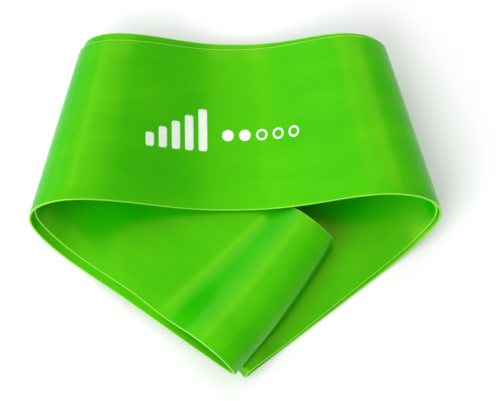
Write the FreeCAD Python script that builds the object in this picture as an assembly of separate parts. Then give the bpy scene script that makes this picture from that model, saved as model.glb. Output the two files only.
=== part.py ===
# Resistance band (mini loop): one endless latex strip, pressed flat into a double
# layer, with both ends folded back under the middle. The left end lies on the right one.
#
# Frame: millimetres, +Z up, the table at Z = 0, +X along the front strip, origin on the
# table under the middle of the folded band.
#
# Geometry: a flat sheet can only bend about straight lines. In the front strip and the two
# folds those lines (rulings) all meet in one apex beyond the upper edge, so each layer is a
# general cone. In the ends the rulings run square across the strip. Everything between
# them lies in a plane.
import FreeCAD, Part
import math
import os

Vector = FreeCAD.Vector

SIZES = [
    ("loop_length", 600.0, "length round the loop, laid out flat"),
    ("band_width", 50.0, "width of the strip"),
    ("sheet_thickness", 0.7, "thickness of the latex"),
    ("layer_gap", 0.15, "air between two layers that lie on each other"),
    ("apex_distance", 152.0, "from the apex of the folds to the upper edge of the strip"),
    ("left_fold_angle", 16.4, "degrees from the middle line to the left fold"),
    ("left_crest_height", 18.3, "height of the wave beside the left fold"),
    ("left_crest_reach", 11.0, "from the crest of that wave out to the fold"),
    ("left_nose_height", 9.0, "height of the outermost line of the left fold"),
    ("left_tuck_reach", 17.8, "from the fold back to where the strip meets the table"),
    ("left_wave_skew", 1.1, "1 is an even wave, more holds the middle down longer"),
    ("right_fold_angle", 16.6, "degrees from the middle line to the right fold"),
    ("right_crest_height", 19.3, "height of the wave beside the right fold"),
    ("right_crest_reach", 11.9, "from the crest of that wave out to the fold"),
    ("right_nose_height", 9.6, "height of the outermost line of the right fold"),
    ("right_tuck_reach", 19.5, "from the fold back to where the strip meets the table"),
    ("right_wave_skew", 1.3, "1 is an even wave, more holds the middle down longer"),
    ("middle_clearance", 0.2, "between the middle of the front and the strips under it"),
    ("left_layer_shift", 2.6, "the under layer peeks out by this at the left fold"),
    ("right_layer_shift", 1.0, "the under layer peeks out by this at the right fold"),
    ("left_eye_upper_length", 21.0, "from where the layers part to the end, upper edge"),
    ("left_eye_lower_length", 32.0, "from where the layers part to the end, lower edge"),
    ("left_eye_upper_height", 7.5, "height of that loop at the upper edge of the strip"),
    ("left_eye_lower_height", 10.5, "height of that loop at the lower edge, where it gapes"),
    ("left_eye_crest_reach", 8.5, "from the crest of the loop to its end"),
    ("left_eye_nose_height", 2.4, "height of the outermost line of the loop"),
    ("left_eye_tuck_reach", 5.0, "from the end of the loop back to the flat lower layer"),
    ("right_eye_upper_length", 14.0, "from where the layers part to the end, upper edge"),
    ("right_eye_lower_length", 18.0, "from where the layers part to the end, lower edge"),
    ("right_eye_upper_height", 2.2, "height of that loop at the upper edge of the strip"),
    ("right_eye_lower_height", 3.6, "height of that loop at the lower edge, where it gapes"),
    ("right_eye_crest_reach", 2.4, "from the crest of the loop to its end"),
    ("right_eye_nose_height", 1.0, "height of the outermost line of the loop"),
    ("right_eye_tuck_reach", 1.6, "from the end of the loop back to the flat lower layer"),
    ("crossing_clearance", 0.2, "between the left strip and the right one under it"),
    ("climb_angle", 7.0, "degrees over which the left strip rises to lie on the right one"),
    ("climb_clearance", 3.0, "least flat length from that rise to the loop of the left end"),
    ("crossing_bearing", 35.0, "degrees, the way in which the left strip slopes upwards"),
]
STATIONS = 12      # steps from ruling to ruling in one stretch of a bend
SUBSTEPS = 12      # steps of the length sum from one ruling to the next
PANELS = 6         # faces side by side in one stretch of a bend


def make_sheet(doc):
    sheet = doc.addObject("Spreadsheet::Sheet", "sizes")
    for row, (name, value, note) in enumerate(SIZES, start=1):
        sheet.set("A%d" % row, name)
        sheet.set("B%d" % row, str(value))
        sheet.set("C%d" % row, note)
        sheet.setAlias("B%d" % row, name)
    doc.recompute()
    return sheet


class Bend:
    """Section of a bend: up a wave, over its crest, round the nose, down to the base."""

    def __init__(self, start_height, crest_height, crest_reach, nose_height, tuck_reach,
                 nose_distance, skew=1.0):
        self.start_height = start_height
        self.crest_height = crest_height
        self.crest_reach = crest_reach
        self.nose_height = nose_height
        self.tuck_reach = tuck_reach
        self.tuck_depth = nose_height
        self.nose_distance = nose_distance
        self.skew = skew

    def point(self, stretch, part):
        """Distance and height at a share (0 to 1) of stretch 0, 1 or 2."""
        if stretch == 0:
            wave = 0.5 - 0.5 * math.cos(math.pi * part ** self.skew)
            rise = self.crest_height - self.start_height
            return ((self.nose_distance - self.crest_reach) * part,
                    self.start_height + rise * wave)
        angle = 0.5 * math.pi * part
        if stretch == 1:
            return (self.nose_distance - self.crest_reach * (1.0 - math.sin(angle)),
                    self.nose_height + (self.crest_height - self.nose_height) * math.cos(angle))
        return (self.nose_distance - self.tuck_reach * (1.0 - math.cos(angle)),
                self.nose_height - self.tuck_depth * math.sin(angle))

    def slope(self, stretch, part):
        """How distance and height change with that share."""
        if stretch == 0:
            rise = self.crest_height - self.start_height
            wave = part ** self.skew
            growth = self.skew * wave / part if part else 0.0
            return (self.nose_distance - self.crest_reach,
                    rise * 0.5 * math.pi * growth * math.sin(math.pi * wave))
        quarter = 0.5 * math.pi
        angle = quarter * part
        if stretch == 1:
            return (quarter * self.crest_reach * math.cos(angle),
                    -quarter * (self.crest_height - self.nose_height) * math.sin(angle))
        return (-quarter * self.tuck_reach * math.sin(angle),
                -quarter * self.tuck_depth * math.cos(angle))


class Ruling:
    """One straight line across the strip, with normals towards the inside of the loop."""

    def __init__(self, top, bottom, top_inward, bottom_inward):
        self.top = top
        self.bottom = bottom
        self.top_inward = top_inward
        self.bottom_inward = bottom_inward

    def middle(self):
        return (self.top + self.bottom) * 0.5

    def corner(self, edge, offset):
        """Point beside the top or bottom end, an offset towards the inside."""
        return getattr(self, edge) + getattr(self, edge + "_inward") * offset


def smooth(part):
    """Eased step from 0 to 1."""
    part = min(max(part, 0.0), 1.0)
    return part ** 3 * (part * (6.0 * part - 15.0) + 10.0)


def smooth_slope(part):
    part = min(max(part, 0.0), 1.0)
    return 30.0 * part ** 2 * (1.0 - part) ** 2


def direction(bearing, elevation):
    """Unit vector from the apex; bearing is measured from the middle line towards +X."""
    return Vector(math.sin(bearing) * math.cos(elevation),
                  -math.cos(bearing) * math.cos(elevation),
                  math.sin(elevation))


def direction_slope(bearing, elevation, turn, lift):
    """How that vector moves when bearing and elevation change by turn and lift."""
    sideways = Vector(math.cos(bearing), math.sin(bearing), 0) * math.cos(elevation)
    upwards = Vector(-math.sin(bearing) * math.sin(elevation),
                     math.cos(bearing) * math.sin(elevation),
                     math.cos(elevation))
    return sideways * turn + upwards * lift


class Half:
    """One half of the folded band, from the middle line to the end of its strip."""

    def __init__(self, sizes, side, start_height, climb=None):
        self.sizes = sizes
        self.side = side
        self.name = "left" if side < 0 else "right"
        self.climb = climb
        self.pitch = sizes.sheet_thickness + sizes.layer_gap
        self.apex = Vector(0, 0, 0.5 * sizes.sheet_thickness)
        self.upper = sizes.apex_distance
        self.lower = sizes.apex_distance + sizes.band_width
        self.mean = 0.5 * (self.upper + self.lower)
        self.bend = Bend(start_height, self.size("crest_height"), self.size("crest_reach"),
                         self.size("nose_height"), self.size("tuck_reach"),
                         math.radians(self.size("fold_angle")) * self.mean,
                         self.size("wave_skew"))
        if climb:
            self.bend.tuck_depth = self.settled_depth()
        self.rule_cone()
        self.set_plane()

    def size(self, name):
        return getattr(self.sizes, self.name + "_" + name)

    def touch(self):
        """Bearing of the line where the fold is down."""
        return self.side * self.bend.point(2, 1.0)[0] / self.mean

    def settled_depth(self):
        """Depth from the nose of the fold with which the rising strip just meets the table."""
        depths = []
        count = STATIONS * SUBSTEPS
        for step in range(1, count + 1):
            part = step / float(count)
            bearing = self.side * self.bend.point(2, part)[0] / self.mean
            share, plane = self.climb.at(bearing)[:2]
            if share < 1.0:
                lifted = self.bend.nose_height + self.mean * plane * share / (1.0 - share)
                depths.append(lifted / math.sin(0.5 * math.pi * part))
        return min(depths)

    def cone_direction(self, stretch, part):
        """Ray from the apex and the way in which it moves."""
        if stretch < 3:
            distance, height = self.bend.point(stretch, part)
            out, up = self.bend.slope(stretch, part)
            bearing = self.side * distance / self.mean
            turn = self.side * out / self.mean
        else:
            height, up = self.bend.point(2, 1.0)[1], 0.0
            turn = self.climb.end - self.touch()
            bearing = self.touch() + turn * part
        elevation = height / self.mean
        lift = up / self.mean
        if self.climb and stretch > 1:
            share, plane, share_slope, plane_slope = self.climb.at(bearing)
            lift = (lift * (1.0 - share) + plane_slope * share * turn
                    + (plane - elevation) * share_slope * turn)
            elevation = elevation * (1.0 - share) + plane * share
        return (direction(bearing, elevation),
                direction_slope(bearing, elevation, turn, lift).normalize())

    def rule_cone(self):
        """Angle, direction and normal of each ruling, stretch by stretch.

        The normal points to the other layer: down in the front, up in the strip under it."""
        self.stretches = []
        angle = 0.0
        last = self.cone_direction(0, 0.0)[0]
        count = 4 if self.climb and self.climb.end > self.touch() else 3
        for stretch in range(count):
            rulings = []
            for station in range(STATIONS + 1):
                if station:
                    for step in range(1, SUBSTEPS + 1):
                        part = (station - 1 + step / float(SUBSTEPS)) / STATIONS
                        now = self.cone_direction(stretch, part)[0]
                        angle += 2.0 * math.asin(0.5 * (now - last).Length)
                        last = now
                ray, ahead = self.cone_direction(stretch, station / float(STATIONS))
                rulings.append((angle, ray, ahead.cross(ray) * self.side))
            self.stretches.append(rulings)
        self.end_angle = angle

    def set_plane(self):
        """Axes of the flat strip: along it, across it and towards the other layer."""
        angle, last, normal = self.stretches[-1][-1]
        ahead = last.cross(normal) * self.side
        self.normal = normal
        self.along = last * math.sin(angle) + ahead * math.cos(angle)
        self.across = last * math.cos(angle) - ahead * math.sin(angle)

    def shift_at(self, angle):
        """How far the under layer is shifted towards the apex, over the front and folds."""
        part = 0.5 + 0.5 * self.side * angle / self.end_angle
        left = self.sizes.left_layer_shift
        right = self.sizes.right_layer_shift
        return left + (right - left) * smooth(part)

    def cone_ruling(self, ruling, layer):
        angle, ray, normal = ruling
        shift = self.shift_at(angle) * layer
        foot = self.apex + normal * (self.pitch * layer)
        reach = 1.0 / math.cos(angle)
        inward = normal * (1.0 - 2.0 * layer)
        return Ruling(foot + ray * ((self.upper - shift) * reach),
                      foot + ray * ((self.lower - shift) * reach), inward, inward)

    def cone(self, layer):
        """Rulings of the front and the fold; layer 0 is the printed one, 1 the other."""
        return [[self.cone_ruling(ruling, layer) for ruling in stretch]
                for stretch in self.stretches]

    def eye(self, reach):
        """Rulings of the loop at the end, from the upper layer round to the lower one."""
        sides = []
        for edge, across in (("upper", self.upper), ("lower", self.lower)):
            length = self.size("eye_" + edge + "_length")
            bend = Bend(self.pitch, self.size("eye_" + edge + "_height"),
                        self.size("eye_crest_reach"), self.size("eye_nose_height"),
                        self.size("eye_tuck_reach"), length)
            sides.append((bend, across, length))
        unrolled = math.tan(self.end_angle)
        stretches = []
        for stretch in range(3):
            rulings = []
            for station in range(STATIONS + 1):
                part = station / float(STATIONS)
                ends = []
                tangents = []
                for bend, across, length in sides:
                    distance, height = bend.point(stretch, part)
                    out, up = bend.slope(stretch, part)
                    shift = 0.0
                    if stretch < 2:
                        left_over = (length - distance) / (reach - across * unrolled)
                        shift = self.shift_at(self.end_angle) * left_over
                    ends.append(self.apex + self.along * (reach - length + distance)
                                + self.normal * height + self.across * (across - shift))
                    tangents.append(self.along * out + self.normal * up)
                across_strip = (ends[1] - ends[0]) * -self.side
                inwards = [tangent.cross(across_strip).normalize() for tangent in tangents]
                rulings.append(Ruling(ends[0], ends[1], inwards[0], inwards[1]))
            stretches.append(rulings)
        return stretches

    def end_corners(self, reach):
        """Corners of the end on the lower layer: upper edge, lower edge."""
        return [self.apex + self.along * reach + self.across * across
                for across in (self.upper, self.lower)]


class Climb:
    """Plane through the apex that carries the left strip over the end of the right one.

    The strip has risen to it before the corner of that end and before its own loop."""

    def __init__(self, sizes, left, right, reach):
        self.bearing = math.radians(sizes.crossing_bearing)
        self.turn = math.radians(sizes.climb_angle)
        seat = sizes.sheet_thickness + sizes.layer_gap + sizes.crossing_clearance
        corners = right.end_corners(reach)
        slopes = []
        for corner, height in zip(corners, (sizes.right_eye_upper_height,
                                            sizes.right_eye_lower_height)):
            bearing = math.atan2(corner.x, -corner.y)
            distance = math.hypot(corner.x, corner.y)
            slopes.append((height + seat) / (distance * math.cos(bearing - self.bearing)))
        self.slope = max(slopes)
        straight = reach - sizes.left_eye_lower_length - sizes.climb_clearance
        last_angle = math.atan(straight / left.lower)
        self.end = min(math.atan2(corners[0].x, -corners[0].y),
                       left.touch() + last_angle - left.end_angle)

    def at(self, bearing):
        """Share of the rise done and elevation of the plane there, and their slopes."""
        part = 1.0 - (self.end - bearing) / self.turn
        tangent = self.slope * math.cos(bearing - self.bearing)
        growth = -self.slope * math.sin(bearing - self.bearing) / (1.0 + tangent ** 2)
        return smooth(part), math.atan(tangent), smooth_slope(part) / self.turn, growth


def reversed_stretches(stretches):
    return [list(reversed(stretch)) for stretch in reversed(stretches)]


def loop_stretches(left, right, reach):
    """The whole loop in order: printed layer, right end, under layer, left end."""
    front = reversed_stretches(left.cone(0)) + right.cone(0)
    under = reversed_stretches(right.cone(1)) + left.cone(1)
    right_eye = reversed_stretches(right.eye(reach))
    left_eye = left.eye(reach)
    bends = front + right_eye + under + left_eye
    whole = []
    for bend, following in zip(bends, bends[1:] + bends[:1]):
        whole.append((bend, False))
        if (bend[-1].middle() - following[0].middle()).Length > 1e-6:
            whole.append(([bend[-1], following[0]], True))
    return whole


def measured_length(stretches):
    """Length round the loop along the middle of the strip."""
    total = 0.0
    for rulings, _flat in stretches:
        for one, other in zip(rulings, rulings[1:]):
            total += (other.middle() - one.middle()).Length
    return total


def rail(rulings, edge, offset):
    """One long edge of the strip: a line in a flat stretch, else a smooth curve in panels."""
    points = [ruling.corner(edge, offset) for ruling in rulings]
    if len(points) == 2:
        return [Part.makeLine(points[0], points[1])]
    curve = Part.BSplineCurve()
    parameters = [station / float(STATIONS) for station in range(len(points))]
    curve.interpolate(Points=points, Parameters=parameters)
    ends = [panel / float(PANELS) for panel in range(PANELS + 1)]
    return [curve.toShape(start, end) for start, end in zip(ends, ends[1:])]


def flat_face(one, other):
    """Plane face between two straight edges."""
    corners = [one.Vertexes[0].Point, one.Vertexes[1].Point,
               other.Vertexes[1].Point, other.Vertexes[0].Point]
    return Part.Face(Part.makePolygon(corners + corners[:1]))


def sheet_faces(rulings, flat, half_thickness):
    """Faces round one stretch: outside, lower edge, inside and upper edge."""
    corners = [("top", -half_thickness), ("bottom", -half_thickness),
               ("bottom", half_thickness), ("top", half_thickness)]
    rails = [rail(rulings, edge, offset) for edge, offset in corners]
    make_face = flat_face if flat else Part.makeRuledSurface
    return [make_face(one, other)
            for ones, others in zip(rails, rails[1:] + rails[:1])
            for one, other in zip(ones, others)]


def band_shape(sizes):
    pitch = sizes.sheet_thickness + sizes.layer_gap
    reach = 0.25 * sizes.loop_length
    lower = sizes.apex_distance + sizes.band_width
    mean = sizes.apex_distance + 0.5 * sizes.band_width
    start_height = 0.0
    for _pass in range(3):
        left = Half(sizes, -1, start_height)
        right = Half(sizes, 1, start_height)
        climb = Climb(sizes, left, right, reach)
        middle = climb.slope * lower * math.cos(climb.bearing)
        start_height = (middle + 3.0 * pitch + sizes.middle_clearance) * mean / lower
        left = Half(sizes, -1, start_height, climb)
        right = Half(sizes, 1, start_height)
        reach += 0.25 * (sizes.loop_length - measured_length(loop_stretches(left, right, reach)))
    stretches = loop_stretches(left, right, reach)
    faces = []
    for rulings, flat in stretches:
        faces.extend(sheet_faces(rulings, flat, 0.5 * sizes.sheet_thickness))
    shell = Part.makeShell(faces)
    shell.sewShape(1e-5)
    solid = Part.makeSolid(shell)
    print("loop length %.3f" % measured_length(stretches), "strip reach %.2f" % reach,
          "height of the middle %.2f" % start_height)
    return solid


def centred(shape):
    """Move that brings the middle of the folded band over the origin."""
    box = shape.BoundBox
    return Vector(-0.5 * (box.XMin + box.XMax), -0.5 * (box.YMin + box.YMax), 0)


def main():
    doc = FreeCAD.newDocument("resistance_band")
    sizes = make_sheet(doc)
    band = doc.addObject("Part::Feature", "loop_band")
    band.Label = "loop_band"
    band.Shape = band_shape(sizes)
    band.Placement = FreeCAD.Placement(centred(band.Shape), FreeCAD.Rotation())
    doc.recompute()
    for item in doc.Objects:
        if "Invalid" in item.State or "Error" in item.State:
            raise RuntimeError(item.Name + " failed: " + str(item.State))
    shape = band.Shape
    if shape.isNull() or not shape.isValid() or shape.Volume <= 0.0:
        raise RuntimeError("loop_band has no valid solid")
    flat_volume = sizes.loop_length * sizes.band_width * sizes.sheet_thickness
    print("volume %.1f, of the flat strip %.1f" % (shape.Volume, flat_volume))
    print("box", shape.BoundBox)
    os.makedirs("parts", exist_ok=True)
    shape.exportStep("parts/loop_band.step")


main()
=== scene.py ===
import math
import bpy
import numpy as np
from mathutils import Matrix, Vector


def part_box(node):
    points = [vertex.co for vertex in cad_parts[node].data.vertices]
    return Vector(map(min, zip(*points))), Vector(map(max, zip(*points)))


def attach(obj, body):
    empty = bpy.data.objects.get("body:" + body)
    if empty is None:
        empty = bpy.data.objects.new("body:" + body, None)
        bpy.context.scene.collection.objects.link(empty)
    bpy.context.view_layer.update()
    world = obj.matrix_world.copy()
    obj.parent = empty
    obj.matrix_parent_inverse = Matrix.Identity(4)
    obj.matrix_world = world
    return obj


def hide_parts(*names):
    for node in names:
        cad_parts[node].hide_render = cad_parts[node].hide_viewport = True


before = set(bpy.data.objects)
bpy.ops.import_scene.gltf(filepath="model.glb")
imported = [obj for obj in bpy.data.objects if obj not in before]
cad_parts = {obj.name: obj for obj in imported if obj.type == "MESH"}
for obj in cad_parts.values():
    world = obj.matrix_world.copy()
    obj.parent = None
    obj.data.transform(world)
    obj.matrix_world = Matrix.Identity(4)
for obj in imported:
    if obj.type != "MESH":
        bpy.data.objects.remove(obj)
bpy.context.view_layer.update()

print("frame loaded")

# One endless latex strip, pressed flat into two layers, both ends folded back under the
# middle. Lengths in the dictionaries are millimetres and angles degrees.
# A flat sheet bends only about straight lines. In the front and the folds these lines meet in
# one apex beyond the upper edge, in the ends they run square across the strip.
bandShape = {
    "loopLength": 600.0, "width": 50.0, "thickness": 0.7, "layerGap": 0.15,
    "apexDistance": 152.0,           # from the apex to the upper edge
    "middleHeight": 5.662,           # of the front above the table, half way
    "edgeRound": 0.14,               # radius left on the cut edges
    "edgePoints": 4,                 # points on each quarter of that radius
    "climbSlope": 0.022433, "climbBearing": 35.0, "climbAngle": 7.0, "climbEnd": -7.3976,
    "stations": 48,                  # rulings in each stretch of a bend
    "flatStations": 30,              # rulings in each flat stretch
    "faceSteps": 10,                 # faces across the strip
    "reachTries": 3,                 # corrections of the reach, each far smaller than the last
}
leftEnd = {
    "side": -1, "foldAngle": 16.4, "crestHeight": 18.3, "crestReach": 11.0,
    "noseHeight": 9.0, "tuckReach": 17.8, "waveSkew": 1.1, "layerShift": 2.6,
    "eyeLengths": (21.0, 32.0),      # of the loop at the end, upper and lower edge
    "eyeHeights": (7.5, 10.5), "eyeCrestReach": 8.5,
    "eyeNoseHeight": 2.4, "eyeTuckReach": 5.0,
    "eyeBow": (0.5, 1.3),            # the soft end bows out: at its corners, more half way
}
rightEnd = {
    "side": 1, "foldAngle": 16.6, "crestHeight": 19.3, "crestReach": 11.9,
    "noseHeight": 9.6, "tuckReach": 19.5, "waveSkew": 1.3, "layerShift": 1.0,
    "eyeLengths": (14.0, 18.0),
    "eyeHeights": (2.2, 3.6), "eyeCrestReach": 2.4,
    "eyeNoseHeight": 1.0, "eyeTuckReach": 1.6,
    "eyeBow": (0.0, 0.3),
}

upper = bandShape["apexDistance"]
lower = upper + bandShape["width"]
mean = 0.5 * (upper + lower)
pitch = bandShape["thickness"] + bandShape["layerGap"]
half = 0.5 * bandShape["thickness"]
apex = np.array([0.0, 0.0, half])
metre = 0.001                        # metres in a millimetre
tiny = 1e-9                          # keeps a divisor off zero


# eased step: 6t^5 - 15t^4 + 10t^3, held at 0 and 1 outside
def easedStep(share):
    t = np.clip(share, 0.0, 1.0)
    return t ** 3 * (t * (6.0 * t - 15.0) + 10.0)


# section of a bend: a wave up to the crest, half a cosine or, for a skew of 0, an eased step,
# a quarter ellipse out to the nose, a quarter ellipse back and down to the base
def bendSection(start, crest, crestReach, nose, tuckReach, noseAt, skew=0.0):
    share = np.linspace(0.0, 1.0, bandShape["stations"] + 1)
    quarter = 0.5 * math.pi * share[1:]
    wave = 0.5 - 0.5 * np.cos(math.pi * share ** skew) if skew else easedStep(share)
    distance = np.concatenate([(noseAt - crestReach) * share,
                               noseAt - crestReach * (1.0 - np.sin(quarter)),
                               noseAt - tuckReach * (1.0 - np.cos(quarter))])
    height = np.concatenate([start + (crest - start) * wave,
                             nose + (crest - nose) * np.cos(quarter),
                             nose * (1.0 - np.sin(quarter))])
    return distance, height


# plane that carries the left strip over the right one: elevation
# arctan(slope * cos(bearing - slope's bearing)), and the eased share of the rise to it
def climbPlane(bearing):
    plane = np.arctan(bandShape["climbSlope"]
                      * np.cos(bearing - math.radians(bandShape["climbBearing"])))
    end = math.radians(bandShape["climbEnd"])
    share = easedStep(1.0 - (end - bearing) / math.radians(bandShape["climbAngle"]))
    return share, plane


# the fold and the rise run into each other: elevation = fold * (1 - share) + plane * share,
# with the fold deepened until it just meets the table
def climbBlend(bearing, height, nose):
    stations = bandShape["stations"]
    share, plane = climbPlane(bearing[2 * stations + 1:])
    drop = np.sin(np.linspace(0.0, 0.5 * math.pi, stations + 1)[1:])
    lifted = nose + mean * plane * share / np.maximum(1.0 - share, tiny)
    fold = nose - (lifted / drop).min() * drop
    run = bearing[-1] + ((math.radians(bandShape["climbEnd"]) - bearing[-1])
                         * np.linspace(0.0, 1.0, stations + 1)[1:])
    runShare, runPlane = climbPlane(run)
    base = fold[-1] / mean
    elevation = np.concatenate([height[:2 * stations + 1] / mean,
                                fold / mean * (1.0 - share) + plane * share,
                                base * (1.0 - runShare) + runPlane * runShare])
    return np.concatenate([bearing, run]), elevation


# rays from the apex: (sin b cos e, -cos b cos e, sin e) for bearing b and elevation e.
# The angle in the flat strip is the length of their path on the unit sphere.
def foldRays(end):
    side = end["side"]
    noseAt = math.radians(end["foldAngle"]) * mean
    distance, height = bendSection(bandShape["middleHeight"], end["crestHeight"],
                                   end["crestReach"], end["noseHeight"], end["tuckReach"],
                                   noseAt, end["waveSkew"])
    bearing = side * distance / mean
    elevation = height / mean
    if side < 0:
        bearing, elevation = climbBlend(bearing, height, end["noseHeight"])
    ray = np.stack([np.sin(bearing) * np.cos(elevation),
                    -np.cos(bearing) * np.cos(elevation), np.sin(elevation)], 1)
    step = 2.0 * np.arcsin(0.5 * np.linalg.norm(np.diff(ray, axis=0), axis=1))
    angle = np.concatenate([[0.0], np.cumsum(step)])
    ahead = np.gradient(ray, angle, axis=0, edge_order=2)
    ahead -= ray * (ahead * ray).sum(1)[:, None]
    ahead /= np.linalg.norm(ahead, axis=1)[:, None]
    inward = np.cross(ahead, ray) * side
    return {"end": end, "angle": angle, "ray": ray, "ahead": ahead, "inward": inward}


# shift of the under layer towards the apex: eased from the left end's value to the right one's
def layerShift(rays):
    part = 0.5 + 0.5 * rays["end"]["side"] * rays["angle"] / rays["angle"][-1]
    gain = rightEnd["layerShift"] - leftEnd["layerShift"]
    return leftEnd["layerShift"] + gain * easedStep(part)


# rulings of a layer in the front and a fold: apex + ray * across / cos(angle), the under layer
# a pitch along the normal. Each has its upper end, lower end, their two inward normals and
# two bow vectors, for its ends and for its middle, which only the end loops have
def coneRulings(rays, layer):
    shift = layerShift(rays) * layer
    reach = 1.0 / np.cos(rays["angle"])
    foot = apex + rays["inward"] * (pitch * layer)
    inward = rays["inward"] * (1.0 - 2.0 * layer)
    return np.stack([foot + rays["ray"] * ((upper - shift) * reach)[:, None],
                     foot + rays["ray"] * ((lower - shift) * reach)[:, None],
                     inward, inward, inward * 0.0, inward * 0.0], 1)


# rulings of the loop at an end: apex + along * s + across * q + normal * height, from the
# upper layer round the nose to the lower one; each edge has its own length and height
def eyeRulings(rays, reach):
    end = rays["end"]
    angle = rays["angle"][-1]
    ray, ahead, normal = rays["ray"][-1], rays["ahead"][-1], rays["inward"][-1]
    along = ray * math.sin(angle) + ahead * math.cos(angle)
    across = ray * math.cos(angle) - ahead * math.sin(angle)
    ends, tangents = [], []
    for length, crest, q in zip(end["eyeLengths"], end["eyeHeights"], (upper, lower)):
        distance, height = bendSection(pitch, crest, end["eyeCrestReach"],
                                       end["eyeNoseHeight"], end["eyeTuckReach"], length)
        upperPart = np.arange(len(distance)) <= 2 * bandShape["stations"]
        straight = reach - q * math.tan(angle)
        shift = np.where(upperPart, layerShift(rays)[-1] * (length - distance) / straight, 0.0)
        ends.append(apex + along * (reach - length + distance)[:, None]
                    + normal * height[:, None] + across * (q - shift)[:, None])
        tangent = along * np.gradient(distance)[:, None] + normal * np.gradient(height)[:, None]
        tangent[-1] = -along
        tangents.append(tangent)
    acrossStrip = (ends[0] - ends[1]) * end["side"]
    inwards = [np.cross(tangent, acrossStrip) for tangent in tangents]
    inwards = [v / np.linalg.norm(v, axis=1)[:, None] for v in inwards]
    out = easedStep(distance / distance.max())
    out = np.where(upperPart, out, out * np.clip(height / end["eyeNoseHeight"], 0.0, 1.0))
    bows = [along * (out * bow)[:, None] for bow in end["eyeBow"]]
    return np.stack([ends[0], ends[1], inwards[0], inwards[1], bows[0], bows[1]], 1)


# straight blend between two rulings, ends left out
def flatRulings(one, other):
    share = np.linspace(0.0, 1.0, bandShape["flatStations"] + 1)[1:-1, None, None]
    return one * (1.0 - share) + other * share


# rulings all round the loop: front, right end, under layer, left end, joined by flat stretches
def loopRulings(left, right, reach):
    front = np.concatenate([coneRulings(left, 0)[:0:-1], coneRulings(right, 0)])
    under = np.concatenate([coneRulings(right, 1)[:0:-1], coneRulings(left, 1)])
    rightEye = eyeRulings(right, reach)[::-1]
    leftEye = eyeRulings(left, reach)
    return np.concatenate([front, flatRulings(front[-1], rightEye[0]), rightEye,
                           flatRulings(rightEye[-1], under[0]), under,
                           flatRulings(under[-1], leftEye[0]), leftEye,
                           flatRulings(leftEye[-1], front[0])])


# lengths from ruling to ruling round the loop, half way across the strip
def lengthRound(rulings):
    middle = 0.5 * (rulings[:, 0] + rulings[:, 1])
    return np.linalg.norm(np.roll(middle, -1, 0) - middle, axis=1)


# reach of the ends: a quarter of what the loop still lacks in length is added to it each time
leftRays = foldRays(leftEnd)
rightRays = foldRays(rightEnd)
reach = 0.25 * bandShape["loopLength"]
for _ in range(bandShape["reachTries"]):
    rulings = loopRulings(leftRays, rightRays, reach)
    reach += 0.25 * (bandShape["loopLength"] - lengthRound(rulings).sum())
rulings = loopRulings(leftRays, rightRays, reach)
print("loop length", round(float(lengthRound(rulings).sum()), 3), "reach", round(reach, 2),
      "rulings", len(rulings))

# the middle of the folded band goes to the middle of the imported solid
corners = np.concatenate([rulings[:, k] + rulings[:, k + 2] * o
                          for k in (0, 1) for o in (-half, half)])
cadLow, cadHigh = (np.array(c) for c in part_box("loop_band"))
toMiddle = 0.5 * ((cadLow + cadHigh) / metre - corners.min(0) - corners.max(0))
toMiddle[2] = 0.0
print("band box", (corners.min(0) + toMiddle).round(2), (corners.max(0) + toMiddle).round(2))


# closed section of the sheet as (across, offset) pairs: two faces joined by rounded edges
def sheetSection():
    r = bandShape["edgeRound"]
    turn = np.linspace(0.0, 0.5 * math.pi, bandShape["edgePoints"])
    face = np.linspace(r, bandShape["width"] - r, bandShape["faceSteps"] + 1)[1:-1]
    far = bandShape["width"] - r
    flat = half - r
    outside = np.stack([face, np.full_like(face, -half)], 1)
    low = np.concatenate([np.stack([far + r * np.sin(turn), -flat - r * np.cos(turn)], 1),
                          np.stack([far + r * np.cos(turn), flat + r * np.sin(turn)], 1)])
    inside = np.stack([face[::-1], np.full_like(face, half)], 1)
    high = np.concatenate([np.stack([r - r * np.sin(turn), flat + r * np.cos(turn)], 1),
                           np.stack([r - r * np.cos(turn), -flat - r * np.sin(turn)], 1)])
    return np.concatenate([outside, low, inside, high])


# grid of points closed both ways into quads; along and across are the rows' and columns'
# places on the flat strip in millimetres and go, in metres, into the UV map "strip"
def closedGridMesh(name, points, along, across):
    rows, columns = points.shape[:2]
    index = np.arange(rows * columns).reshape(rows, columns)
    right = np.roll(index, -1, 1)
    faces = np.stack([index, right, np.roll(right, -1, 0), np.roll(index, -1, 0)], -1)
    u = np.stack([along[:-1], along[:-1], along[1:], along[1:]], -1)[:, None]
    v = np.stack([across, np.roll(across, -1), np.roll(across, -1), across], -1)[None]
    strip = np.stack(np.broadcast_arrays(u, v), -1).reshape(-1, 2)
    return arrayMesh(name, points.reshape(-1, 3), faces.reshape(-1), strip,
                     np.full(rows * columns, 4))


# mesh from arrays: points in millimetres, corner indices, corner places, corners per face
def arrayMesh(name, points, corners, strip, counts):
    mesh = bpy.data.meshes.new(name)
    mesh.vertices.add(len(points))
    mesh.vertices.foreach_set("co", (points.reshape(-1) * metre).astype(np.float32))
    mesh.loops.add(len(corners))
    mesh.loops.foreach_set("vertex_index", corners.astype(np.int32))
    mesh.polygons.add(len(counts))
    mesh.polygons.foreach_set("loop_start", (np.cumsum(counts) - counts).astype(np.int32))
    mesh.polygons.foreach_set("use_smooth", np.ones(len(counts), bool))
    uvLayer = mesh.uv_layers.new(name="strip")
    uvLayer.data.foreach_set("uv", (strip.reshape(-1) * metre).astype(np.float32))
    mesh.update(calc_edges=True)
    mesh.validate()
    return mesh


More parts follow.
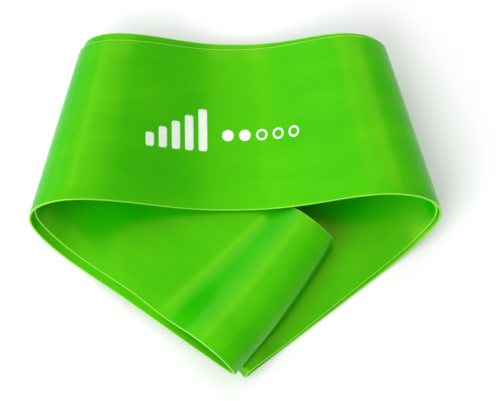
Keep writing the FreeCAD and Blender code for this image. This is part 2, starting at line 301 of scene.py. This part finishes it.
# ruled point: upper * (1 - share) + lower * share + bow * 4 * share * (1 - share)
section = sheetSection()
share = (section[:, 0] / bandShape["width"])[None, :, None]
offset = section[None, :, 1, None]
bandPoints = ((rulings[:, None, 0] + rulings[:, None, 2] * offset) * (1.0 - share)
              + (rulings[:, None, 1] + rulings[:, None, 3] * offset) * share
              + rulings[:, None, 4] + rulings[:, None, 5] * (4.0 * share * (1.0 - share))
              + toMiddle)
alongStrip = np.concatenate([[0.0], np.cumsum(lengthRound(rulings))])
bandMesh = closedGridMesh("band", bandPoints, alongStrip, section[:, 0])
bandPiece = bpy.data.objects.new("latexLoop", bandMesh)
bpy.context.collection.objects.link(bandPiece)
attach(bandPiece, "root")
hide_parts("loop_band")
print("band mesh", len(bandMesh.vertices), "vertices")

# white print on the front: five rising bars and five round marks, two of them filled.
# Places are on the flat front: s along from the middle line, q across from the apex
printShape = {
    "inkHeight": 0.03, "inkSink": 0.01,
    "barCount": 5, "barMiddle": -17.6, "barBase": 184.0, "barPitch": 4.3, "barWidth": 2.7,
    "barHeights": (4.2, 13.0), "barRound": 0.7,
    "markCount": 5, "markFilled": 2, "markMiddle": (8.8, 179.0), "markPitch": 5.1,
    "markRadius": 1.75, "markHole": 1.15,
    "outlineSteps": 64, "fillSteps": 8,
}
frontAngle = np.concatenate([-leftRays["angle"][::-1], rightRays["angle"][1:]])
frontRay = np.concatenate([leftRays["ray"][::-1], rightRays["ray"][1:]])
frontInward = np.concatenate([leftRays["inward"][::-1], rightRays["inward"][1:]])


# point over the flat front's (s, q): apex + ray(atan(s / q)) * hypot(s, q), raised outwards
def onFront(s, q, raised):
    angle = np.arctan2(s, q)
    ray, inward = (np.stack([np.interp(angle, frontAngle, table[:, k]) for k in range(3)], -1)
                   for table in (frontRay, frontInward))
    ray /= np.linalg.norm(ray, axis=-1, keepdims=True)
    return (apex + ray * np.hypot(s, q)[..., None]
            - inward * (half + np.broadcast_to(raised, s.shape))[..., None] + toMiddle)


# thin patch of ink: rings of the outline (s, q) from its middle out on top and back in
# below. A mark with a hole closes through the hole, a full one with a fan at each middle
def inkPatch(s, q, holeShare=0.0):
    steps = printShape["fillSteps"]
    size = np.linspace(holeShare, 1.0, steps + 1)
    size = size if holeShare else size[1:]
    raised = np.repeat([printShape["inkHeight"], -printShape["inkSink"]], len(size))[:, None]
    size = np.concatenate([size, size[::-1]])[:, None]
    places = np.stack([s.mean() + (s - s.mean()) * size, q.mean() + (q - q.mean()) * size], -1)
    points = onFront(places[..., 0], places[..., 1], raised).reshape(-1, 3)
    rows, columns = places.shape[:2]
    places = places.reshape(-1, 2)
    index = np.arange(rows * columns).reshape(rows, columns)
    ring = np.roll(index, -1, 1)
    quads = np.stack([index, ring, np.roll(ring, -1, 0), np.roll(index, -1, 0)], -1)
    fans = np.zeros((0, 3), int)
    if not holeShare:
        quads = quads[:-1]
        middle = np.array([[s.mean(), q.mean()]] * 2)
        heights = np.array([printShape["inkHeight"], -printShape["inkSink"]])
        points = np.concatenate([points, onFront(middle[:, 0], middle[:, 1], heights)])
        places = np.concatenate([places, middle])
        top, bottom = np.full(columns, len(places) - 2), np.full(columns, len(places) - 1)
        fans = np.concatenate([np.stack([top, ring[0], index[0]], -1),
                               np.stack([bottom, index[-1], ring[-1]], -1)])
    return points, quads.reshape(-1, 4), fans, places


# rounded rectangle: corner centres plus radius * (cos, sin). Its base is its top in q,
# since q grows towards the lower edge
def roundedBar(middle, base, width, height, radius):
    turn = np.linspace(0.0, 2.0 * math.pi, printShape["outlineSteps"], endpoint=False)
    s = np.cos(turn) * radius + np.sign(np.cos(turn)) * (0.5 * width - radius)
    q = np.sin(turn) * radius + np.sign(np.sin(turn)) * (0.5 * height - radius)
    return middle + s, base - 0.5 * height + q


# places of a row of equal steps about 0
def rowPlaces(count, pitch):
    return (np.arange(count) - 0.5 * (count - 1)) * pitch


patches = []
barHeights = np.linspace(*printShape["barHeights"], printShape["barCount"])
barPlaces = printShape["barMiddle"] + rowPlaces(printShape["barCount"], printShape["barPitch"])
for middle, height in zip(barPlaces, barHeights):
    patches.append(inkPatch(*roundedBar(middle, printShape["barBase"], printShape["barWidth"],
                                        height, printShape["barRound"])))
turn = np.linspace(0.0, 2.0 * math.pi, printShape["outlineSteps"], endpoint=False)
markPlaces = rowPlaces(printShape["markCount"], printShape["markPitch"])
for i, middle in enumerate(printShape["markMiddle"][0] + markPlaces):
    hole = 0.0 if i < printShape["markFilled"] else printShape["markHole"]
    patches.append(inkPatch(middle + printShape["markRadius"] * np.cos(turn),
                            printShape["markMiddle"][1]
                            + printShape["markRadius"] * np.sin(turn),
                            hole / printShape["markRadius"]))
starts = np.cumsum([0] + [len(patch[0]) for patch in patches])
inkPoints = np.concatenate([patch[0] for patch in patches])
inkPlaces = np.concatenate([patch[3] for patch in patches])
inkQuads = np.concatenate([patch[1] + start for patch, start in zip(patches, starts)])
inkFans = np.concatenate([patch[2] + start for patch, start in zip(patches, starts)])
inkCorners = np.concatenate([inkQuads.reshape(-1), inkFans.reshape(-1)])
inkMesh = arrayMesh("ink", inkPoints, inkCorners, inkPlaces[inkCorners],
                    np.repeat([4, 3], [len(inkQuads), len(inkFans)]))
inkPiece = bpy.data.objects.new("whitePrint", inkMesh)
bpy.context.collection.objects.link(inkPiece)
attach(inkPiece, "root")
print("print mesh", len(inkMesh.vertices), "vertices")

# finishes; lengths here are metres. Deep and light are the ends of a faint mottle
latexFinish = {
    "deep": (0.003, 0.402, 0.0, 1), "light": (0.024, 0.462, 0.0, 1),
    "mottleSize": 0.011, "mottleStretch": 0.35,
    # the paler cut-edge colour is a painted glow of light through the thin latex, not its own
    # colour
    "paintedEdgeGlow": (0.24, 0.68, 0.05, 1), "edgeWidth": 0.0001, "edgeSoftness": 0.00025,
    "roughness": (0.235, 0.245), "grainSize": 0.00035, "grainHeight": 0.0000015,
    "flowSize": 0.0016, "flowStretch": 0.04, "flowHeight": 0.0000004,
    "dustSize": 0.0012, "dustCover": 0.025, "dust": (0.62, 0.80, 0.50, 1), "dustShare": 0.1,
    "specularLevel": 0.55, "specularTint": (1.0, 1.0, 0.07, 1),
}
inkFinish = {
    "white": (0.86, 0.90, 0.84, 1), "thin": (0.60, 0.80, 0.52, 1), "patchSize": 0.002,
    "roughness": (0.42, 0.55), "grainSize": 0.00025, "grainHeight": 0.000004,
    "dustSize": 0.0009, "dustCover": 0.05,
}
# shape of the two shared effects
effectShape = {
    "cloudDetail": 3.0, "cloudRange": (0.3, 0.7),
    "speckRange": (0.05, 0.22),      # a speck's solid core and its soft rim, in cells
}


# empty node group with its input and output nodes
def newGroup(name, inputs, output):
    tree = bpy.data.node_groups.new(name, "ShaderNodeTree")
    for label, kind in inputs:
        tree.interface.new_socket(label, in_out="INPUT", socket_type=kind)
    tree.interface.new_socket(output, in_out="OUTPUT", socket_type="NodeSocketFloat")
    return tree, tree.nodes.new("NodeGroupInput"), tree.nodes.new("NodeGroupOutput")


# inputs of a node by name or place: an output is linked, a value is set
def feed(tree, node, inputs):
    for socket, value in dict(inputs).items():
        if isinstance(value, bpy.types.NodeSocket):
            tree.links.new(value, node.inputs[socket])
        else:
            node.inputs[socket].default_value = value


def addNode(tree, kind, inputs=(), **settings):
    node = tree.nodes.new(kind)
    for key, value in settings.items():
        setattr(node, key, value)
    feed(tree, node, inputs)
    return node


# soft cloud: fractal noise at 1 / size, stretched along the strip
def makeCloudGroup():
    tree, given, out = newGroup("stripCloud", (("Place", "NodeSocketVector"),
                                               ("Size", "NodeSocketFloat"),
                                               ("Stretch", "NodeSocketFloat")), "Cloud")
    stretch = addNode(tree, "ShaderNodeCombineXYZ",
                      {0: given.outputs["Stretch"], 1: 1.0, 2: 1.0})
    place = addNode(tree, "ShaderNodeVectorMath", {0: given.outputs["Place"],
                                                   1: stretch.outputs[0]}, operation="MULTIPLY")
    scale = addNode(tree, "ShaderNodeMath", {0: 1.0, 1: given.outputs["Size"]},
                    operation="DIVIDE")
    noise = addNode(tree, "ShaderNodeTexNoise", {"Vector": place.outputs[0],
                                                 "Scale": scale.outputs[0],
                                                 "Detail": effectShape["cloudDetail"]})
    spread = addNode(tree, "ShaderNodeMapRange", {"Value": noise.outputs[0],
                                                  "From Min": effectShape["cloudRange"][0],
                                                  "From Max": effectShape["cloudRange"][1]})
    tree.links.new(spread.outputs[0], out.inputs[0])
    return tree


# dust: cells at 1 / size whose random value is under the cover, round and soft
def makeDustGroup():
    tree, given, out = newGroup("dustSpecks", (("Place", "NodeSocketVector"),
                                               ("Size", "NodeSocketFloat"),
                                               ("Cover", "NodeSocketFloat")), "Mask")
    scale = addNode(tree, "ShaderNodeMath", {0: 1.0, 1: given.outputs["Size"]},
                    operation="DIVIDE")
    cells = addNode(tree, "ShaderNodeTexVoronoi", {"Vector": given.outputs["Place"],
                                                   "Scale": scale.outputs[0]})
    value = addNode(tree, "ShaderNodeSeparateColor", {0: cells.outputs["Color"]})
    chosen = addNode(tree, "ShaderNodeMath", {0: value.outputs[0], 1: given.outputs["Cover"]},
                     operation="LESS_THAN")
    speck = addNode(tree, "ShaderNodeMapRange", {"Value": cells.outputs["Distance"],
                                                 "From Min": effectShape["speckRange"][0],
                                                 "From Max": effectShape["speckRange"][1],
                                                 "To Min": 1.0, "To Max": 0.0})
    mask = addNode(tree, "ShaderNodeMath", {0: chosen.outputs[0], 1: speck.outputs[0]},
                   operation="MULTIPLY")
    tree.links.new(mask.outputs[0], out.inputs[0])
    return tree


cloudGroup = makeCloudGroup()
dustGroup = makeDustGroup()


def placeGroup(tree, group, inputs):
    node = addNode(tree, "ShaderNodeGroup", node_tree=group)
    feed(tree, node, inputs)
    return node.outputs[0]


# colour mix; 0, 6, 7 and output 2 are the factor, the two colours and the result
def mixColour(tree, factor, one, other):
    node = addNode(tree, "ShaderNodeMix", data_type="RGBA")
    feed(tree, node, {0: factor, 6: one, 7: other})
    return node.outputs[2]


# material with its tree, its shader and the strip's UV place
def newMaterial(name):
    material = bpy.data.materials.new(name)
    material.use_nodes = True
    tree = material.node_tree
    place = addNode(tree, "ShaderNodeUVMap", uv_map="strip").outputs[0]
    return material, tree, tree.nodes["Principled BSDF"], place


# latex: a mottled green, with a painted glow of light on the cut edges, faint dust, a roughness
# that follows the mould's flow lines, and a fine grain
def makeLatex():
    material, tree, shader, place = newMaterial("greenLatex")
    across = addNode(tree, "ShaderNodeSeparateXYZ", {0: place}).outputs[1]
    fromFar = addNode(tree, "ShaderNodeMath", {0: bandShape["width"] * metre, 1: across},
                      operation="SUBTRACT").outputs[0]
    fromEdge = addNode(tree, "ShaderNodeMath", {0: across, 1: fromFar},
                       operation="MINIMUM").outputs[0]
    # mask of the cut edges, where a paler colour paints the glow of light through the thin
    # latex
    edge = addNode(tree, "ShaderNodeMapRange",
                   {"Value": fromEdge, "From Min": latexFinish["edgeWidth"],
                    "From Max": latexFinish["edgeWidth"] + latexFinish["edgeSoftness"],
                    "To Min": 1.0, "To Max": 0.0}).outputs[0]
    mottle = placeGroup(tree, cloudGroup, {"Place": place, "Size": latexFinish["mottleSize"],
                                           "Stretch": latexFinish["mottleStretch"]})
    grain = placeGroup(tree, cloudGroup, {"Place": place, "Size": latexFinish["grainSize"],
                                          "Stretch": 1.0})
    flow = placeGroup(tree, cloudGroup, {"Place": place, "Size": latexFinish["flowSize"],
                                         "Stretch": latexFinish["flowStretch"]})
    dust = placeGroup(tree, dustGroup, {"Place": place, "Size": latexFinish["dustSize"],
                                        "Cover": latexFinish["dustCover"]})
    thinDust = addNode(tree, "ShaderNodeMath", {0: dust, 1: latexFinish["dustShare"]},
                       operation="MULTIPLY").outputs[0]
    colour = mixColour(tree, mottle, latexFinish["deep"], latexFinish["light"])
    colour = mixColour(tree, thinDust, colour, latexFinish["dust"])
    colour = mixColour(tree, edge, colour, latexFinish["paintedEdgeGlow"])
    rough = addNode(tree, "ShaderNodeMapRange", {"Value": flow,
                                                 "To Min": latexFinish["roughness"][0],
                                                 "To Max": latexFinish["roughness"][1]})
    roughDust = addNode(tree, "ShaderNodeMath", {0: rough.outputs[0], 1: thinDust},
                        operation="ADD").outputs[0]
    fine = addNode(tree, "ShaderNodeBump", {"Height": grain,
                                            "Distance": latexFinish["grainHeight"]})
    broad = addNode(tree, "ShaderNodeBump", {"Height": flow, "Normal": fine.outputs[0],
                                             "Distance": latexFinish["flowHeight"]})
    tree.links.new(colour, shader.inputs["Base Color"])
    tree.links.new(roughDust, shader.inputs["Roughness"])
    tree.links.new(broad.outputs[0], shader.inputs["Normal"])
    shader.inputs["Specular IOR Level"].default_value = latexFinish["specularLevel"]
    shader.inputs["Specular Tint"].default_value = latexFinish["specularTint"]
    return material


# ink: white, thinner where clouds and grain meet and in pinholes
def makeInk():
    material, tree, shader, place = newMaterial("whiteInk")
    patch = placeGroup(tree, cloudGroup, {"Place": place, "Size": inkFinish["patchSize"],
                                          "Stretch": 1.0})
    grain = placeGroup(tree, cloudGroup, {"Place": place, "Size": inkFinish["grainSize"],
                                          "Stretch": 1.0})
    pinholes = placeGroup(tree, dustGroup, {"Place": place, "Size": inkFinish["dustSize"],
                                            "Cover": inkFinish["dustCover"]})
    worn = addNode(tree, "ShaderNodeMath", {0: patch, 1: grain}, operation="MULTIPLY")
    thin = addNode(tree, "ShaderNodeMath", {0: worn.outputs[0], 1: pinholes},
                   operation="MAXIMUM").outputs[0]
    colour = mixColour(tree, thin, inkFinish["white"], inkFinish["thin"])
    rough = addNode(tree, "ShaderNodeMapRange", {"Value": patch,
                                                 "To Min": inkFinish["roughness"][0],
                                                 "To Max": inkFinish["roughness"][1]})
    bump = addNode(tree, "ShaderNodeBump", {"Height": grain,
                                            "Distance": inkFinish["grainHeight"]})
    tree.links.new(colour, shader.inputs["Base Color"])
    tree.links.new(rough.outputs[0], shader.inputs["Roughness"])
    tree.links.new(bump.outputs[0], shader.inputs["Normal"])
    return material


bandMesh.materials.append(makeLatex())
inkMesh.materials.append(makeInk())
print("materials made")

# floor, lamps and camera
stageValues = {
    "floorSize": 6.0, "floorDrop": 0.00002, "floorColour": 0.86, "floorRoughness": 0.9,
    "floorLift": 0.1, "worldStrength": 0.36,
    "lampDistance": 1.4, "lampSize": 1.5,
    # elevation, azimuth and power of each lamp
    "lamps": {"key": (36, 225, 20.7), "back": (36, 90, 7.8), "side": (36, 150, 3.9),
              "top": (76, 100, 3.9)},
    "cameraElevation": 76.5, "cameraAzimuth": -0.96, "cameraRoll": -0.12,
    "cameraDistance": 1.0, "cameraTarget": (0.00447, 0.00300, 0.0), "lens": 241.4,
    "sensorWidth": 36.0,
}


# 1 for camera, glossy and transmission rays, which see the backdrop, and 0 for the rest
def seenRays(tree):
    rays = addNode(tree, "ShaderNodeLightPath").outputs
    either = addNode(tree, "ShaderNodeMath", {0: rays["Is Camera Ray"],
                                              1: rays["Is Glossy Ray"]}, operation="MAXIMUM")
    return addNode(tree, "ShaderNodeMath", {0: either.outputs[0],
                                            1: rays["Is Transmission Ray"]},
                   operation="MAXIMUM").outputs[0]


# pale matt floor, a hair under the table plane
def addFloor():
    size, level = stageValues["floorSize"], -stageValues["floorDrop"]
    mesh = bpy.data.meshes.new("floor")
    mesh.from_pydata([(-size, -size, level), (size, -size, level), (size, size, level),
                      (-size, size, level)], [], [(0, 1, 2, 3)])
    floor = bpy.data.objects.new("floor", mesh)
    bpy.context.collection.objects.link(floor)
    paint = bpy.data.materials.new("paleFloor")
    paint.use_nodes = True
    shader = paint.node_tree.nodes["Principled BSDF"]
    grey = stageValues["floorColour"]
    shader.inputs["Base Color"].default_value = (grey, grey, grey, 1)
    shader.inputs["Roughness"].default_value = stageValues["floorRoughness"]
    shader.inputs["Specular IOR Level"].default_value = 0.0
    # seen directly or in a gloss the floor is a little lighter: white outside the soft shadow
    lift = addNode(paint.node_tree, "ShaderNodeMath",
                   {0: seenRays(paint.node_tree), 1: stageValues["floorLift"]},
                   operation="MULTIPLY").outputs[0]
    paint.node_tree.links.new(lift, shader.inputs["Emission Strength"])
    shader.inputs["Emission Color"].default_value = (1, 1, 1, 1)
    mesh.materials.append(paint)


# square soft lamp at an elevation and azimuth in degrees, aimed at the origin
def addLamp(name, elevation, azimuth, power):
    e, a = math.radians(elevation), math.radians(azimuth)
    data = bpy.data.lights.new(name, "AREA")
    data.shape = "SQUARE"
    data.size = stageValues["lampSize"]
    data.energy = power
    lamp = bpy.data.objects.new(name, data)
    way = Vector((math.cos(e) * math.cos(a), math.cos(e) * math.sin(a), math.sin(e)))
    lamp.location = way * stageValues["lampDistance"]
    lamp.rotation_euler = (-way).to_track_quat("-Z", "Y").to_euler()
    bpy.context.collection.objects.link(lamp)


# camera at an elevation and azimuth about its target, then rolled about its own axis
def addCamera():
    e, a, r = (math.radians(stageValues[k]) for k in
               ("cameraElevation", "cameraAzimuth", "cameraRoll"))
    back = np.array([math.sin(a) * math.cos(e), -math.cos(a) * math.cos(e), math.sin(e)])
    side = np.array([math.cos(a), math.sin(a), 0.0])
    up = np.cross(back, side)
    sideTurned = side * math.cos(r) - up * math.sin(r)
    upTurned = side * math.sin(r) + up * math.cos(r)
    place = np.array(stageValues["cameraTarget"]) + back * stageValues["cameraDistance"]
    matrix = Matrix([[sideTurned[i], upTurned[i], back[i], place[i]] for i in range(3)]
                    + [[0, 0, 0, 1]])
    data = bpy.data.cameras.new("camera")
    data.lens = stageValues["lens"]
    data.sensor_width = stageValues["sensorWidth"]
    camera = bpy.data.objects.new("camera", data)
    camera.matrix_world = matrix
    bpy.context.collection.objects.link(camera)
    bpy.context.scene.camera = camera


# the world lights softly; seen directly or in a gloss it is white
world = bpy.data.worlds.new("studio")
world.use_nodes = True
sky = world.node_tree.nodes["Background"]
sky.inputs["Color"].default_value = (1, 1, 1, 1)
skyLevel = addNode(world.node_tree, "ShaderNodeMapRange",
                   {"Value": seenRays(world.node_tree),
                    "To Min": stageValues["worldStrength"], "To Max": 1.0})
world.node_tree.links.new(skyLevel.outputs[0], sky.inputs["Strength"])
bpy.context.scene.world = world
addFloor()
for name, (elevation, azimuth, power) in stageValues["lamps"].items():
    addLamp(name, elevation, azimuth, power)
addCamera()
bpy.context.scene.view_settings.view_transform = "Standard"
print("stage set")
